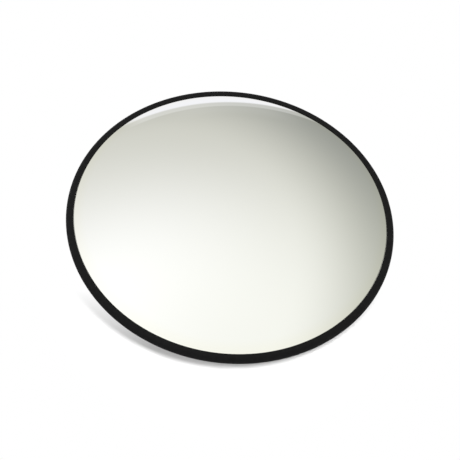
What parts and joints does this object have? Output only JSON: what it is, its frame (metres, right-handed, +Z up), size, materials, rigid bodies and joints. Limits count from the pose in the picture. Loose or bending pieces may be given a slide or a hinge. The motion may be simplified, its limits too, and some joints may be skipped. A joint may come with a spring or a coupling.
{
  "type": "convex security mirror",
  "caption": "Round domed surveillance mirror with a black rubber edge, on a telescopic wall arm with a lockable ball joint.",
  "frame": {"origin": "centre of the wall flange's back face", "axes": "+Y into the wall, the mirror faces -Y; +Z up; +X to the right as seen by someone facing the mirror"},
  "size_m": [0.4572, 0.2355, 0.4571],
  "materials": {
    "mirror_acrylic": "polished, back-silvered acrylic",
    "hardboard": "tempered hardboard, smooth face",
    "rim_rubber": "matte extruded rubber",
    "plywood": "bare birch plywood",
    "zinc_fasteners": "bright zinc-plated",
    "zinc_steel": "galvanised, satin",
    "cast_zinc": "die-cast, as cast",
    "nylon_natural": "natural moulded nylon",
    "black_nylon": "fine spark-eroded texture",
    "polished_steel": "polished, chrome-plated",
    "brass": "turned"
  },
  "bodies": {
    "wall_bracket": {"wall_flange": "zinc_steel", "outer_tube": "zinc_steel", "clamp_boss": "zinc_steel", "guide_bush": "black_nylon"},
    "arm": {"sliding_rod": "polished_steel", "rod_end_slider": "nylon_natural", "slider_screw": "zinc_fasteners", "ball_stud": "polished_steel", "jam_nut": "zinc_fasteners"},
    "thumb_pad": {"pressure_pad": "brass"},
    "thumb_screw": {"thumb_screw_stud": "zinc_fasteners", "thumb_screw_knob": "black_nylon"},
    "rear_liner": {"rear_liner_ring": "nylon_natural"},
    "front_liner": {"front_seat": "nylon_natural"},
    "mirror_head": {"socket_cup": "cast_zinc", "socket_screws": "zinc_fasteners", "mount_plate": "zinc_steel", "plate_screws": "zinc_fasteners", "plate_washers": "zinc_fasteners", "back_panel": "hardboard", "backing_disc": "plywood", "tee_nuts": "zinc_fasteners", "mirror_lens": "mirror_acrylic", "edge_gasket": "rim_rubber"},
    "clamp_seat": {"seat_ring": "zinc_steel"},
    "locking_ring": {"locking_ring": "black_nylon"}
  },
  "joints": [
    {"name": "arm_extend", "type": "slide", "parent": "wall_bracket", "child": "arm", "axis": [0, -1, 0], "range_m": [0, 0.05]},
    {"name": "mirror_pan", "type": "hinge", "parent": "arm", "child": "rear_liner", "pos_m": [0, -0.15, 0], "axis": [0, 0, 1], "range_deg": [-25, 25]},
    {"name": "mirror_tilt", "type": "hinge", "parent": "rear_liner", "child": "front_liner", "pos_m": [0, -0.15, 0], "axis": [1, 0, 0], "range_deg": [-25, 25]},
    {"name": "mirror_spin", "type": "hinge", "parent": "front_liner", "child": "mirror_head", "pos_m": [0, -0.15, 0], "axis": [0, 1, 0], "continuous": true},
    {"name": "locking_ring_turn", "type": "hinge", "parent": "clamp_seat", "child": "locking_ring", "pos_m": [0, -0.15, 0], "axis": [0, 1, 0], "range_deg": [-90, 0]},
    {"name": "clamp_seat_slide", "type": "slide", "parent": "mirror_head", "child": "clamp_seat", "axis": [0, 1, 0], "range_m": [0, 0.0005]},
    {"name": "thumb_screw_turn", "type": "hinge", "parent": "thumb_pad", "child": "thumb_screw", "pos_m": [0, -0.082, 0.02], "axis": [0, 0, 1], "range_deg": [0, 720]},
    {"name": "thumb_pad_slide", "type": "slide", "parent": "wall_bracket", "child": "thumb_pad", "axis": [0, 0, 1], "range_m": [0, 0.0025]}
  ],
  "couplings": [
    {"joint": "clamp_seat_slide", "follows": "locking_ring_turn", "m_per_rad": -0.00031831},
    {"joint": "thumb_pad_slide", "follows": "thumb_screw_turn", "m_per_rad": 0.00019894}
  ]
}
